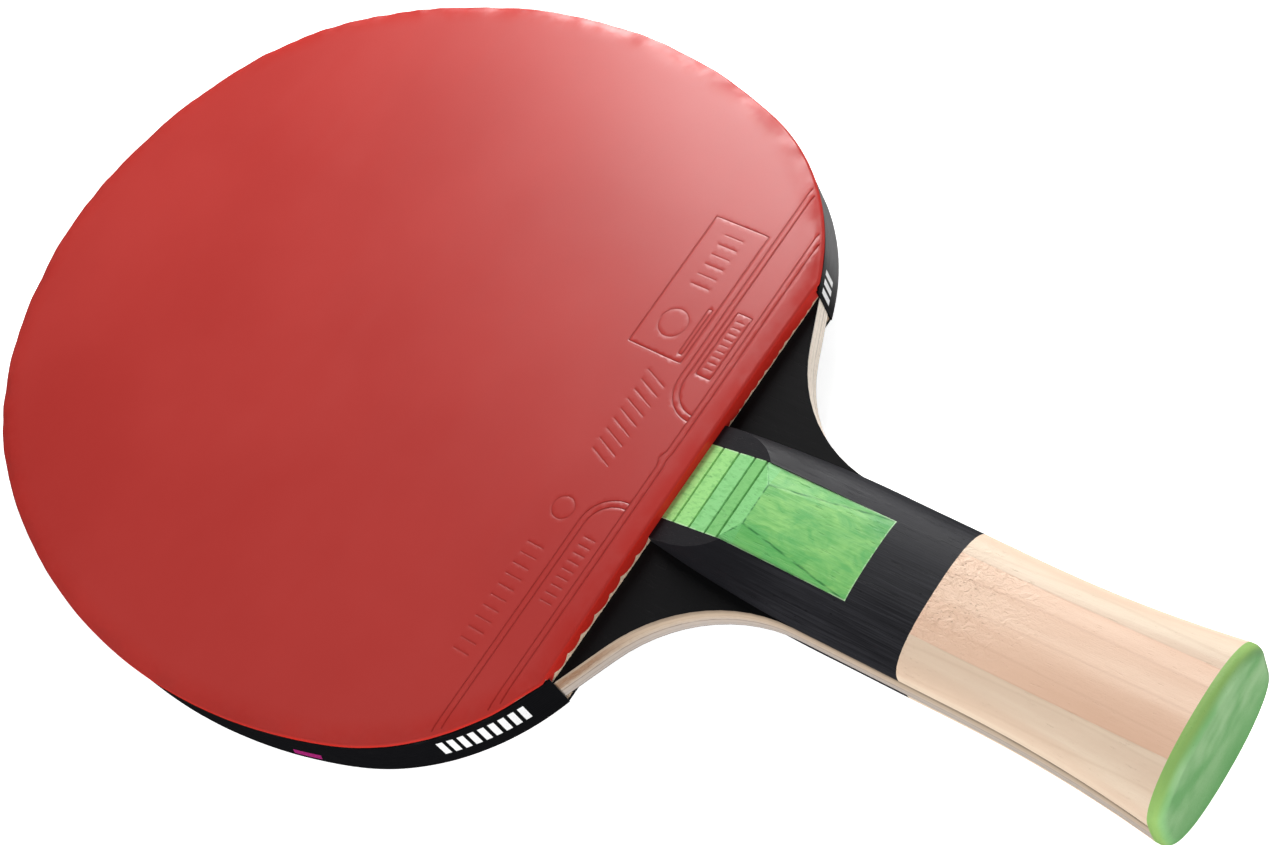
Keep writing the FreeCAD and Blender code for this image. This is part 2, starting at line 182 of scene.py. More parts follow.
class Shader:
    """A node material with a Principled surface, built up from small steps."""

    def __init__(self, name):
        self.material = bpy.data.materials.new(name)
        self.material.use_nodes = True
        self.tree = self.material.node_tree
        self.tree.nodes.clear()
        self.surface = self.node("ShaderNodeBsdfPrincipled")
        output = self.node("ShaderNodeOutputMaterial")
        self.link(self.surface.outputs[0], output.inputs["Surface"])
        place = self.node("ShaderNodeTexCoord")
        self.here = self.scaled(place.outputs["Object"], 1 / MM)
        self.geometry = self.node("ShaderNodeNewGeometry")

    def node(self, kind, **settings):
        made = self.tree.nodes.new(kind)
        for key, value in settings.items():
            setattr(made, key, value)
        return made

    def link(self, output, target):
        self.tree.links.new(output, target)

    def put(self, value, target):
        """Set an input to a constant, or link a socket to it."""
        if isinstance(value, bpy.types.NodeSocket):
            self.link(value, target)
        elif isinstance(value, (tuple, list)) and len(value) == 3 and target.type == "RGBA":
            target.default_value = (*value, 1)
        else:
            target.default_value = value

    def scaled(self, vector, factors):
        """A vector times a factor, or times one for each axis."""
        mapping = self.node("ShaderNodeMapping")
        mapping.inputs["Scale"].default_value = tuple(np.broadcast_to(factors, 3))
        self.link(vector, mapping.inputs["Vector"])
        return mapping.outputs[0]

    def math(self, operation, *values, clamp=False):
        made = self.node("ShaderNodeMath", operation=operation, use_clamp=clamp)
        for value, target in zip(values, made.inputs):
            self.put(value, target)
        return made.outputs[0]

    def times(self, first, second, clamp=False):
        return self.math("MULTIPLY", first, second, clamp=clamp)

    def plus(self, first, second):
        return self.math("ADD", first, second)

    def minus(self, first, second):
        return self.math("SUBTRACT", first, second)

    def size(self, value):
        """A value without its sign."""
        return self.math("ABSOLUTE", value)

    def ramp(self, value, low, high, out_low=0.0, out_high=1.0):
        """Value from low to high becomes out_low to out_high, smoothly and clamped."""
        made = self.node("ShaderNodeMapRange", interpolation_type="SMOOTHSTEP")
        for item, target in zip((value, low, high, out_low, out_high), made.inputs):
            self.put(item, target)
        return made.outputs[0]

    def fall(self, value, low, high):
        """Value from low to high becomes 1 to 0."""
        return self.ramp(value, low, high, 1.0, 0.0)

    def pattern(self, kind, factors, **inputs):
        """A texture over the place, its factors in cycles a millimetre."""
        made = self.node(kind)
        self.link(self.scaled(self.here, factors), made.inputs["Vector"])
        for key, value in {"Scale": 1.0, **inputs}.items():
            made.inputs[key].default_value = value
        return made.outputs

    def noise(self, factors, detail=3.0, roughness=0.55, distortion=0.0):
        """Noise of about 0 to 1."""
        inputs = {"Detail": detail, "Roughness": roughness, "Distortion": distortion}
        return self.pattern("ShaderNodeTexNoise", factors, **inputs)["Fac"]

    def cells(self, factors):
        """Distance to the nearest point of a scattered set."""
        return self.pattern("ShaderNodeTexVoronoi", factors)["Distance"]

    def mix(self, share, first, second):
        """A colour between two colours."""
        made = self.node("ShaderNodeMix", data_type="RGBA")
        self.put(share, made.inputs[0])
        self.put(first, made.inputs[6])
        self.put(second, made.inputs[7])
        return made.outputs[2]

    def tinted(self, colour, tint, share, strength):
        """A colour taken towards a tint, by a share of a strength."""
        return self.mix(self.times(share, strength), colour, tint)

    def axes(self, vector=None):
        """The x, y and z of a vector, which is the place in millimetres if not given."""
        made = self.node("ShaderNodeSeparateXYZ")
        self.link(vector or self.here, made.inputs[0])
        return made.outputs

    def bump(self, height, distance):
        """Bump by a height of 0 to 1 that stands for a distance in millimetres."""
        made = self.node("ShaderNodeBump")
        made.inputs["Distance"].default_value = distance * MM
        self.link(height, made.inputs["Height"])
        self.link(made.outputs[0], self.surface.inputs["Normal"])

    def finish(self, colour, roughness, specular=0.5, **inputs):
        self.put(colour, self.surface.inputs["Base Color"])
        self.put(roughness, self.surface.inputs["Roughness"])
        self.put(specular, self.surface.inputs["Specular IOR Level"])
        for key, value in inputs.items():
            self.put(value, self.surface.inputs[key.replace("_", " ")])
        return self.material


# How edge-on, from 0 to 1, rubber is seen where its grazing look starts and is full.
GRAZING = (0.55, 0.85)


def rubber_material(name, dark, light, wall_painted_fill, specular):
    """Soft satin rubber with handling marks, a painted fill light on its walls, painted shade in
    its creases, and duller edge-on and by its worn rim."""
    s = Shader(name)
    cloud = s.noise(0.02, 4)
    fine = s.noise(0.9, 3)
    smear = s.noise((0.05, 0.22, 0.1), 4, distortion=0.6)
    grain = s.noise(6, 2)
    facing_up = s.size(s.axes(s.geometry.outputs["Normal"])[2])
    # Painted fill light: the walls take a wall colour of their own, painted in place of the light
    # they miss.
    wall_fill_share = s.fall(facing_up, 0.35, 0.85)
    colour = s.mix(s.ramp(cloud, 0.3, 0.7), dark, light)
    colour = s.tinted(colour, light, s.ramp(fine, 0.35, 0.75), 0.12)
    colour = s.mix(wall_fill_share, colour, wall_painted_fill)
    # Painted shade: the moulded creases are darkened towards a dark copy of the wall colour.
    crease = s.node("ShaderNodeAttribute", attribute_name="crease").outputs["Fac"]
    shadow = tuple(channel * 0.4 for channel in wall_painted_fill)
    colour = s.mix(s.times(crease, 0.8, clamp=True), colour, shadow)
    roughness = s.plus(s.ramp(smear, 0.3, 0.75, 0.345, 0.37), s.times(grain, 0.02))
    height = s.plus(s.times(fine, 0.5), s.times(grain, 0.3))
    s.bump(height, 0.012)
    grazing = s.node("ShaderNodeLayerWeight").outputs["Facing"]
    roughness = s.math("MAXIMUM", roughness, s.ramp(grazing, *GRAZING, 0.0, 0.62))
    rim = s.node("ShaderNodeAttribute", attribute_name="rim").outputs["Fac"]
    patch = s.noise(0.12, 3)
    worn = s.times(s.ramp(rim, 0.1, 0.85), s.ramp(patch, 0.35, 0.6, 0.3, 1.0))
    still_shiny = s.math("MULTIPLY_ADD", worn, -0.75, 1.0)
    shine = s.times(s.ramp(grazing, *GRAZING, specular, 0.1), still_shiny)
    return s.finish(colour, roughness, shine)


def sponge_material(name, dark, light):
    """Cut sponge: matt, full of fine open cells."""
    s = Shader(name)
    pores = s.cells(4.5)
    fine = s.noise(9, 3)
    open_cell = s.ramp(pores, 0.12, 0.5)
    colour = s.tinted(dark, light, open_cell, s.ramp(fine, 0.25, 0.7))
    s.bump(s.plus(open_cell, s.times(fine, 0.4)), 0.09)
    return s.finish(colour, 0.9, 0.2)


# How far from the tape's middle line dust starts and is full.
TAPE_DUST = (4.2, 4.7)


def tape_material():
    """Black satin edge tape with a faint weave, scuffs, dust along its edges, and a painted sheen:
    a grey reflection painted on its right side where it is seen edge-on."""
    s = Shader("edge_tape_film")
    from_middle = s.size(s.axes()[2])
    scuffs = s.noise((0.25, 0.25, 2.0), 5, 0.65, distortion=0.8)
    fine = s.noise(5, 3)
    ribs = s.node("ShaderNodeTexWave", wave_type="BANDS", bands_direction="Z")
    s.link(s.here, ribs.inputs["Vector"])
    ribs.inputs["Scale"].default_value = 0.55
    ribs.inputs["Distortion"].default_value = 0.6
    near_rim = s.ramp(from_middle, *TAPE_DUST)
    dust = s.times(s.ramp(scuffs, 0.5, 0.8), s.plus(near_rim, 0.2), clamp=True)
    black, dusty, painted_sheen_grey = (0.005, 0.005, 0.006), (0.03, 0.029, 0.029), (0.19, 0.188, 0.19)
    colour = s.mix(dust, black, dusty)
    # Painted reflection: where the right side is seen edge-on, its colour is taken towards grey.
    grazing = s.node("ShaderNodeLayerWeight").outputs["Facing"]
    to_right = s.ramp(s.axes(s.geometry.outputs["Normal"])[0], 0.3, 0.55)
    painted_sheen = s.times(s.ramp(grazing, 0.5, 0.85), to_right)
    colour = s.mix(painted_sheen, colour, painted_sheen_grey)
    roughness = s.ramp(scuffs, 0.3, 0.75, 0.34, 0.52)
    height = s.plus(s.times(ribs.outputs["Fac"], 0.35), fine)
    s.bump(height, 0.015)
    return s.finish(colour, roughness, 0.10)


def print_material(name, dark, light):
    """Ink printed on the tape, a little worn."""
    s = Shader(name)
    wear = s.noise(3, 4, 0.7)
    colour = s.mix(s.ramp(wear, 0.58, 0.75), light, dark)
    s.bump(wear, 0.01)
    return s.finish(colour, s.ramp(wear, 0.3, 0.7, 0.42, 0.6), 0.4)


def wood_bands(s):
    """Broad soft bands that run along the handle."""
    return s.noise((0.22, 0.008, 0.3), 3, 0.5)


def wood_rings(s):
    """Wandering growth rings, as thin lines that run along the handle."""
    wander = s.noise((0.04, 0.012, 0.04), 2)
    x, y, z = s.axes()
    across = s.plus(s.times(x, 0.21), s.times(z, 0.08))
    across = s.plus(across, s.times(wander, 1.3))
    across = s.plus(across, s.times(y, 0.003))
    return s.ramp(s.math("PINGPONG", across, 0.5), 0.42, 0.5)


def wood_fibres(s):
    """Fine fibres that run along the handle."""
    return s.noise((5.0, 0.07, 5.0), 4, 0.6)


PORE_REACH = 22
ROSE = (0.66, 0.40, 0.27)
DYE = (0.02, 0.02, 0.024)


def pale_wood_material(name, dark, light, ring, pore, pore_top, dye_line, seam, blush):
    """Bare sealed wood with long grain, a few growth rings, pores and lumps towards the rubber,
    dye above a line, and a fine dark joint by a seam. Its left side may be rosier."""
    s = Shader(name)
    x, y, _ = s.axes()
    bands, rings, fibres = wood_bands(s), wood_rings(s), wood_fibres(s)
    pits = s.cells((1.5, 0.9, 1.5))
    patch = s.noise((0.16, 0.05, 0.16), 3)
    near_top = s.ramp(y, pore_top - PORE_REACH, pore_top)
    pitted = s.times(s.fall(pits, 0.14, 0.24), s.ramp(patch, 0.44, 0.56))
    pitted = s.times(pitted, s.plus(near_top, 0.05), clamp=True)
    dashes = s.ramp(s.noise((2.6, 0.3, 2.6), 3, 0.6), 0.64, 0.74)
    colour = s.mix(s.ramp(bands, 0.3, 0.7), dark, light)
    left_side, near_butt = s.ramp(x, -4.5, 0.5, blush, 0.0), s.ramp(y, 12, 44, 1.0, 0.4)
    colour = s.tinted(colour, ROSE, left_side, near_butt)
    colour = s.tinted(colour, dark, s.ramp(fibres, 0.35, 0.7), 0.22)
    colour = s.tinted(colour, ring, rings, 0.22)
    colour = s.tinted(colour, ring, dashes, 0.16)
    colour = s.tinted(colour, pore, pitted, 0.22)
    from_seam = s.size(s.minus(s.size(x), seam))
    joint = s.times(s.fall(from_seam, 0.08, 0.3), s.ramp(fibres, 0.3, 0.55))
    colour = s.tinted(colour, ring, joint, 0.4)
    creep = s.plus(y, s.times(s.noise((3.5, 0.3, 3.5), 3), 0.5))
    dyed = s.ramp(creep, dye_line + 0.22, dye_line + 0.34)
    colour = s.mix(dyed, colour, DYE)
    lumps = s.noise((0.9, 0.7, 0.9), 3, 0.65, distortion=1.2)
    lumpy = s.times(lumps, s.plus(s.times(near_top, 2.3), 0.35))
    height = s.minus(s.times(fibres, 0.2), s.times(pitted, 0.8))
    height = s.minus(height, s.times(dashes, 0.3))
    s.bump(s.plus(height, lumpy), 0.16)
    return s.finish(colour, s.ramp(fibres, 0.3, 0.7, 0.44, 0.6), 0.35)


# Heights over which painted shade darkens the dyed wood towards the rubber.
RUBBER_SHADE_SPAN = (68, 84)


def dyed_wood_material(name, dark, light, rough, specular, bare_to=None):
    """Wood dyed black, with painted shade that darkens it towards the rubber, its grain and pores
    still open. Its edge may be bare up to a height."""
    s = Shader(name)
    bands, fibres = wood_bands(s), wood_fibres(s)
    pores = s.ramp(s.noise((3.2, 0.14, 3.2), 4, 0.65), 0.56, 0.7)
    pits = s.fall(s.cells((0.5, 0.3, 0.5)), 0.05, 0.09)
    colour = s.mix(s.ramp(fibres, 0.3, 0.75), dark, light)
    colour = s.tinted(colour, light, s.ramp(bands, 0.35, 0.75), 0.5)
    colour = s.mix(s.math("MAXIMUM", s.times(pores, 0.6), pits), colour, dark)
    # Painted shade: darker towards the rubber.
    colour = s.mix(s.ramp(s.axes()[1], *RUBBER_SHADE_SPAN, 0.0, 0.85), colour, dark)
    if bare_to:
        facing_up = s.size(s.axes(s.geometry.outputs["Normal"])[2])
        on_edge = s.fall(facing_up, 0.3, 0.6)
        soak = s.plus(s.size(s.axes()[2]), s.times(fibres, 0.12))
        bare = s.times(on_edge, s.fall(soak, bare_to, bare_to + 0.14))
        colour = s.mix(bare, colour, edge_wood(s))
    height = s.minus(s.times(fibres, 0.5), s.times(pores, 0.5))
    s.bump(height, 0.03)
    return s.finish(colour, s.ramp(fibres, 0.3, 0.7, *rough), specular)


# The glue lines on the edge of the blade: their height and strength.
GLUE_LINES = ((-0.7, 0.75), (0.7, 0.25), (-1.9, 0.3), (1.9, 0.2), (2.45, 0.4))
GLUE = (0.15, 0.115, 0.10)
# Tones of the blade's sanded edge: by its back and its front face, at the left heel, where the
# front corner is worn, a painted light that makes the right side pale, and flecks.
EDGE_BACK, EDGE_FRONT = (0.45, 0.395, 0.355), (0.49, 0.38, 0.28)
EDGE_HEEL, EDGE_WORN = (0.27, 0.14, 0.075), (0.20, 0.15, 0.105)
EDGE_RIGHT_PAINTED_LIGHT, EDGE_CROSS = (0.95, 0.86, 0.75), (0.42, 0.31, 0.23)


def edge_wood(s):
    """The colour of the blade's sanded edge, in streaks, with its glue lines and a painted light
    down its right side.
    """
    x, _, z = s.axes()
    streaks = s.noise((0.12, 0.12, 3.0), 4, 0.6)
    cross = s.noise((2.2, 2.2, 1.0), 3, 0.6)
    level = s.plus(z, s.times(s.minus(streaks, 0.5), 2.0))
    colour = s.mix(s.ramp(level, -1.4, 0.6), EDGE_BACK, EDGE_FRONT)
    heel = s.times(s.fall(x, -36, -25), s.ramp(level, -0.3, 0.6))
    heel = s.times(heel, s.fall(level, 1.7, 2.4))
    colour = s.tinted(colour, EDGE_HEEL, heel, 0.95)
    worn = s.times(s.ramp(x, -30, -22), s.ramp(level, 1.0, 2.2))
    colour = s.tinted(colour, EDGE_WORN, worn, 0.6)
    # Painted light: the edge is made pale down its right side, where the light falls.
    colour = s.mix(s.ramp(x, 4, 12, 0.0, 0.95), colour, EDGE_RIGHT_PAINTED_LIGHT)
    colour = s.tinted(colour, EDGE_CROSS, s.ramp(cross, 0.5, 0.8), 0.3)
    for height, strength in GLUE_LINES:
        away = s.size(s.minus(z, height))
        line = s.times(s.fall(away, 0.06, 0.22), s.ramp(streaks, 0.3, 0.55))
        colour = s.tinted(colour, GLUE, line, strength)
    return colour


def ply_material(name, tint, share):
    """The edge of an inner ply."""
    s = Shader(name)
    rough = s.noise((1.2, 1.2, 3.0), 3)
    colour = s.tinted(edge_wood(s), tint, s.ramp(rough, 0.3, 0.7), share)
    s.bump(rough, 0.05)
    return s.finish(colour, s.ramp(rough, 0.3, 0.7, 0.55, 0.72), 0.2)


# The greens of the inlay past its panel: the height each starts at, and its colour.
INLAY_TONES = (
    (82.8, (0.22, 0.575, 0.205)),
    (86.0, (0.185, 0.50, 0.155)),
    (88.9, (0.235, 0.585, 0.215)),
    (92.75, (0.30, 0.645, 0.21)),
    (96.6, (0.345, 0.68, 0.22)),
)
PANEL_TOP, PANEL_HALF = 82.8, 3.9
PANEL_DARK, PANEL_LIGHT = (0.115, 0.42, 0.115), (0.26, 0.575, 0.165)
PANEL_STAIN = (0.065, 0.33, 0.105)
# Greens for the bevels' painted shade, short grain and dashes; fibres, seams and the grooves'
# painted shade; and pale edges.
BEVEL_PAINTED_SHADE, SHORT_GRAIN, DASH_GREEN = (0.10, 0.41, 0.11), (0.09, 0.37, 0.08), (0.04, 0.24, 0.045)
FIBRE_GREEN, SEAM_GREEN, GROOVE_PAINTED_SHADE = (0.42, 0.70, 0.33), (0.02, 0.15, 0.035), (0.05, 0.26, 0.06)
PALE_EDGE_GREEN = (0.55, 0.74, 0.47)


def inlay_material():
    """Wood stained green: bands of other greens on the ramp, grain along the panel, painted shade
    on the bevel down each side, more on the left, dark seams, painted shade in the grooves, and a
    pale line along its long edges and its far end."""
    s = Shader("inlay_green_wood")
    x, y, _ = s.axes()
    aside = s.size(x)
    fibres = wood_fibres(s)
    short = s.noise((1.6, 0.22, 1.6), 4, 0.65, distortion=0.3)
    dashes = s.ramp(s.noise((2.2, 0.35, 2.2), 3, 0.6), 0.6, 0.72)
    mottle = s.noise((0.35, 0.16, 0.35), 4, 0.6, distortion=0.8)
    chip = s.noise((1.2, 0.3, 1.2), 3)
    colour = s.mix(s.ramp(mottle, 0.3, 0.7), PANEL_DARK, PANEL_LIGHT)
    right_side, far_part = s.ramp(x, 1.5, 6.5), s.fall(y, 61.0, 67.0)
    colour = s.tinted(colour, PANEL_STAIN, s.times(right_side, far_part), 0.6)
    for start, tone in INLAY_TONES:
        colour = s.mix(s.ramp(y, start - 0.05, start + 0.05), colour, tone)
    past_top = s.minus(y, PANEL_TOP)
    upper = s.math("MULTIPLY_ADD", past_top, 1.22, PANEL_HALF)
    lower = s.math("MULTIPLY_ADD", past_top, -0.17, PANEL_HALF)
    past_side = s.minus(aside, s.math("MAXIMUM", upper, lower))
    below_groove = s.fall(y, 85.9, 86.0)
    on_bevel = s.times(s.ramp(past_side, -0.05, 0.05), below_groove)
    # Painted shade on the bevels, stronger on the left side.
    colour = s.tinted(colour, BEVEL_PAINTED_SHADE, on_bevel, s.ramp(x, -1.0, 1.0, 0.55, 0.2))
    colour = s.tinted(colour, SHORT_GRAIN, s.ramp(short, 0.45, 0.7), 0.45)
    colour = s.tinted(colour, DASH_GREEN, dashes, 0.4)
    colour = s.tinted(colour, FIBRE_GREEN, s.ramp(fibres, 0.5, 0.75), 0.2)
    side_seam = s.times(s.fall(s.size(past_side), 0.04, 0.28), below_groove)
    side_seam = s.times(side_seam, s.ramp(chip, 0.35, 0.6))
    top_seam = s.fall(s.size(past_top), 0.05, 0.25)
    top_seam = s.times(top_seam, s.fall(aside, 3.7, 4.0))
    top_seam = s.times(top_seam, s.ramp(chip, 0.3, 0.6))
    colour = s.tinted(colour, SEAM_GREEN, s.math("MAXIMUM", side_seam, top_seam), 0.8)
    # Painted shade in the grooves between the ramp's bands.
    for start, _ in INLAY_TONES[1:]:
        away = s.size(s.minus(y, start))
        line = s.times(s.ramp(away, 0.06, 0.24, 0.35, 0.0), s.ramp(chip, 0.35, 0.6))
        colour = s.mix(line, colour, GROOVE_PAINTED_SHADE)
    # A pale line along the long edges and the far end.
    long_edge = s.times(s.ramp(aside, 7.5, 7.75), s.ramp(chip, 0.4, 0.55))
    colour = s.tinted(colour, PALE_EDGE_GREEN, long_edge, 0.65)
    far_end = s.times(s.fall(y, 60.0, 60.2), s.ramp(chip, 0.35, 0.55))
    colour = s.tinted(colour, PALE_EDGE_GREEN, far_end, 0.6)
    height = s.plus(s.times(short, 0.7), s.times(fibres, 0.4))
    height = s.minus(height, s.times(dashes, 0.6))
    s.bump(height, 0.06)
    return s.finish(colour, s.ramp(short, 0.3, 0.7, 0.45, 0.6), 0.3)


CAP_RIM, CAP_FACE, CAP_PALER = (0.285, 0.48, 0.135), (0.19, 0.475, 0.17), (0.40, 0.65, 0.33)
CAP_STREAK, CAP_SPECK = (0.12, 0.36, 0.11), (0.08, 0.27, 0.05)


def cap_material():
    """Green lacquer over end grain: paler on the end face, yellower on the rim."""
    s = Shader("butt_cap_lacquer")
    _, y, z = s.axes()
    cloud = s.noise((0.10, 0.09, 0.12), 2)
    speck = s.noise(2.2, 4, 0.65)
    streak = s.noise((0.08, 1.0, 0.4), 3)
    on_face = s.fall(y, -0.1, 1.2)
    colour = s.mix(on_face, CAP_RIM, CAP_FACE)
    paler = s.times(s.ramp(cloud, 0.3, 0.65), s.ramp(z, -11, 4))
    colour = s.tinted(colour, CAP_PALER, paler, on_face)
    colour = s.tinted(colour, CAP_STREAK, s.ramp(streak, 0.45, 0.7), 0.12)
    colour = s.tinted(colour, CAP_SPECK, s.ramp(speck, 0.62, 0.75), 0.35)
    s.bump(s.plus(speck, s.times(cloud, 2.0)), 0.05)
    return s.finish(colour, s.ramp(speck, 0.3, 0.7, 0.4, 0.5), 0.4, Coat_Weight=0.15)


FLOOR_GLOW = 0.80
FLOOR_DARK, FLOOR_LIGHT = (0.88, 0.88, 0.88), (0.92, 0.92, 0.92)


def floor_material():
    """Plain pale studio floor, that glows only for the camera. It isn't seen from below,
    casts no shadow and isn't mirrored by shiny surfaces."""
    s = Shader("studio_floor")
    cloud = s.noise(0.01, 3)
    s.bump(cloud, 0.02)
    s.finish(s.mix(cloud, FLOOR_DARK, FLOOR_LIGHT), 0.8, 0.1)
    rays = s.node("ShaderNodeLightPath")
    s.put((1.0, 1.0, 1.0), s.surface.inputs["Emission Color"])
    glow = s.times(rays.outputs["Is Camera Ray"], FLOOR_GLOW)
    s.link(glow, s.surface.inputs["Emission Strength"])
    see_through = s.geometry.outputs["Backfacing"]
    for kind in ("Is Shadow Ray", "Is Glossy Ray"):
        see_through = s.math("MAXIMUM", see_through, rays.outputs[kind])
    clear = s.node("ShaderNodeBsdfTransparent")
    both = s.node("ShaderNodeMixShader")
    for given, target in zip((see_through, s.surface.outputs[0], clear.outputs[0]), both.inputs):
        s.link(given, target)
    output = next(n for n in s.tree.nodes if n.type == "OUTPUT_MATERIAL")
    s.link(both.outputs[0], output.inputs["Surface"])
    return s.material


RED = rubber_material(
    "red_rubber", (0.375, 0.026, 0.021), (0.41, 0.034, 0.028), (0.50, 0.022, 0.014), 0.5
)
BLACK = rubber_material(
    "black_rubber", (0.010, 0.010, 0.011), (0.016, 0.016, 0.017), (0.012, 0.012, 0.012), 0.4
)
SPONGE = sponge_material("cream_sponge", (0.58, 0.38, 0.24), (0.90, 0.74, 0.58))
TAPE = tape_material()
WHITE_INK = print_material("white_print", (0.35, 0.35, 0.35), (0.82, 0.82, 0.82))
PINK_INK = print_material("magenta_print", (0.12, 0.005, 0.06), (0.32, 0.01, 0.14))

# -------- rubber sheets

# The smooth skin of a sheet: how thick it is, how far it settles, and the least left of it.
SKIN = {"front": 1.0, "back": 0.7}
SKIN_SETTLE, SAG_SPARE = 0.05, 0.15
# Its rounded rim, the width of the worn band, how thick the skin is where it hangs down, and
# how much of each heel has none hanging.
RIM, RIM_STEPS, RIM_WEAR = 0.6, 6, 6.0
CURTAIN, HEEL_CLEAR = 0.42, 1.2
# Pimples: spacing, turn of their rows in degrees, radius, corners, how far in from the rim
# they're made, and their width at shares of their height.
PIMPLE_PITCH, PIMPLE_TURN, PIMPLE_ROWS = 2.2, 4, range(-50, 51)
PIMPLE_RADIUS, PIMPLE_CORNERS, PIMPLE_BAND = 0.82, 12, 4.6
PIMPLE_PROFILE = ((1.0, 0.0), (1.02, 0.55), (1.12, 0.82), (1.34, 1.0))
# Spacing of its points along marks and over the marked part, and how high that part reaches.
MARK_STEP, FINE_GRID, MARKED_BAND = 0.9, 0.8, 26.5
# Moulded double lines, and the strokes and rings that stand for lettering, with heights from
# the straight edge. The upper line turns down to the lower one, which has a small jog.
LINE_HALF_WIDTH, LINE_DEPTH = 0.21, -0.08
STROKE_HALF_WIDTH, STROKE_DEPTH = 0.26, -0.045
UPPER_LINE, LOWER_LINE, LINE_GAP = 11.9, 5.3, 1.25
LINE_TURN, LINE_JOGS = 15.4, (0.55, 0.25)
# Plain frames: left, low, right and high.
FRAMES = ((17.9, 13.4, 46.4, 25.3), (17.3, 6.4, 30.8, 9.6), (19.4, 14.25, 29.3, 15.05))
# Rows of strokes: the first and the last x, how many, low, high, and how far they lean.
STROKE_ROWS = (
    (-44.6, -22.6, 11, 14.5, 17.9, 0.0),
    (-30.4, -17.4, 9, 6.7, 9.1, 0.0),
    (19.0, 29.2, 9, 7.2, 8.8, 0.0),
    (32.6, 43.6, 6, 17.4, 21.4, 0.0),
    (-3.6, 13.6, 9, 13.4, 18.2, 0.9),
)
# Plain rings: x, height and radius.
RINGS = ((24.3, 19.6, 2.9), (-14.6, 16.0, 2.2))


def arc(centre_x, centre_y, radius, degrees, side=1):
    """Points on a circle at some angles, which are mirrored if side is -1."""
    return [
        (centre_x + side * radius * math.cos(t), centre_y + radius * math.sin(t))
        for t in np.radians(degrees)
    ]


def maker_marks(edge, flat):
    """The moulded lines by the straight edge, and plain strokes in place of lettering. Each is
    (points, closed, half width, height). The sheet is flat inside a loop, and edge is the
    height of its straight edge."""
    right_side = flat[(flat[:, 0] > 0) & (flat[:, 1] < edge + 30)]
    right_side = right_side[np.argsort(right_side[:, 1])]

    def reach(level):
        """How far out a line at a height runs before the sheet rounds off."""
        return np.interp(level, right_side[:, 1], right_side[:, 0]) - LINE_HALF_WIDTH - 0.15

    upper, lower = edge + UPPER_LINE, edge + LOWER_LINE
    line = (LINE_HALF_WIDTH, LINE_DEPTH)
    stroke = (STROKE_HALF_WIDTH, STROKE_DEPTH)
    marks = []
    for side in (1, -1):
        for drop in (0, LINE_GAP):
            radius = upper - lower - drop
            turn = arc(side * LINE_TURN, lower, radius, np.linspace(90, 2, 14), -side)
            start = side * reach(upper - drop)
            marks.append(([(start, upper - drop), *turn], False, *line))
    for drop, jog in zip((0, LINE_GAP), LINE_JOGS):
        level = lower - drop
        far = reach(level)
        jogged = [(far, level), (2.4, level), (0.9, level + jog), (-0.8, level), (-far, level)]
        marks.append((jogged, False, *line))
    for left, low, right, high in FRAMES:
        low, high = edge + low, edge + high
        marks.append(([(left, low), (right, low), (right, high), (left, high)], True, *line))
    for first, last, count, low, high, lean in STROKE_ROWS:
        for x in np.linspace(first, last, count):
            ends = [(x - lean, edge + low), (x + lean, edge + high)]
            marks.append((ends, False, *stroke))
    for x, height, radius in RINGS:
        marks.append((arc(x, edge + height, radius, range(0, 360, 15)), True, *stroke))
    return [(np.array(points), closed, half, height) for points, closed, half, height in marks]


def stroke_loops(points, closed, half_width):
    """Loops of points beside a stroke, that the sheet's triangles follow."""
    loops = []
    for share in (0.45, 1.0):
        reach = half_width * share
        if closed:
            corner = mitres(points)
            loops += [(points + corner * reach, True), (points - corner * reach, True)]
        else:
            normals = outward(points, False)
            along = points[-1] - points[-2]
            back = points[0] - points[1]
            tip = points[-1] + along / np.linalg.norm(along) * reach
            tail = points[0] + back / np.linalg.norm(back) * reach
            right, left = points + normals * reach, points - normals * reach
            loops.append((np.vstack([tail, right, tip, left[::-1]]), True))
    loops.append((points, closed))
    return loops


def densified(path, closed, step):
    """A path with points added so that no segment is longer than a step."""
    ends = np.roll(path, -1, axis=0) if closed else path[1:]
    pieces = []
    for start, end in zip(path, ends):
        count = max(1, math.ceil(np.linalg.norm(end - start) / step))
        pieces.append(start + (end - start) * np.arange(count)[:, None] / count)
    if not closed:
        pieces.append(path[-1:])
    return np.vstack(pieces)


def mitres(points):
    """Outward steps at the corners of a closed path that keep its sides parallel."""
    before = points - np.roll(points, 1, axis=0)
    after = np.roll(points, -1, axis=0) - points
    before /= np.linalg.norm(before, axis=1)[:, None]
    after /= np.linalg.norm(after, axis=1)[:, None]
    first = np.column_stack([before[:, 1], -before[:, 0]])
    second = np.column_stack([after[:, 1], -after[:, 0]])
    both = first + second
    return both / (1 + np.sum(first * second, axis=1))[:, None]


def relief(points, marks):
    """How far the moulded marks raise each point of the sheet."""
    rise = np.zeros(len(points))
    for path, closed, half_width, height in marks:
        low, high = path.min(axis=0) - half_width, path.max(axis=0) + half_width
        near = np.all((points >= low) & (points <= high), axis=1)
        if not near.any():
            continue
        share = np.clip(path_distance(points[near], path, closed) / half_width, 0, 1)
        rise[near] += height * (1 - share**2 * (3 - 2 * share))
    return rise


def unevenness(points, *layers):
    """Layers of noise added up at some points. Each is (cycles a millimetre, seed, height)."""
    return np.array([
        sum(h * noise.noise(Vector((x * scale, y * scale, seed))) for scale, seed, h in layers)
        for x, y in points
    ])


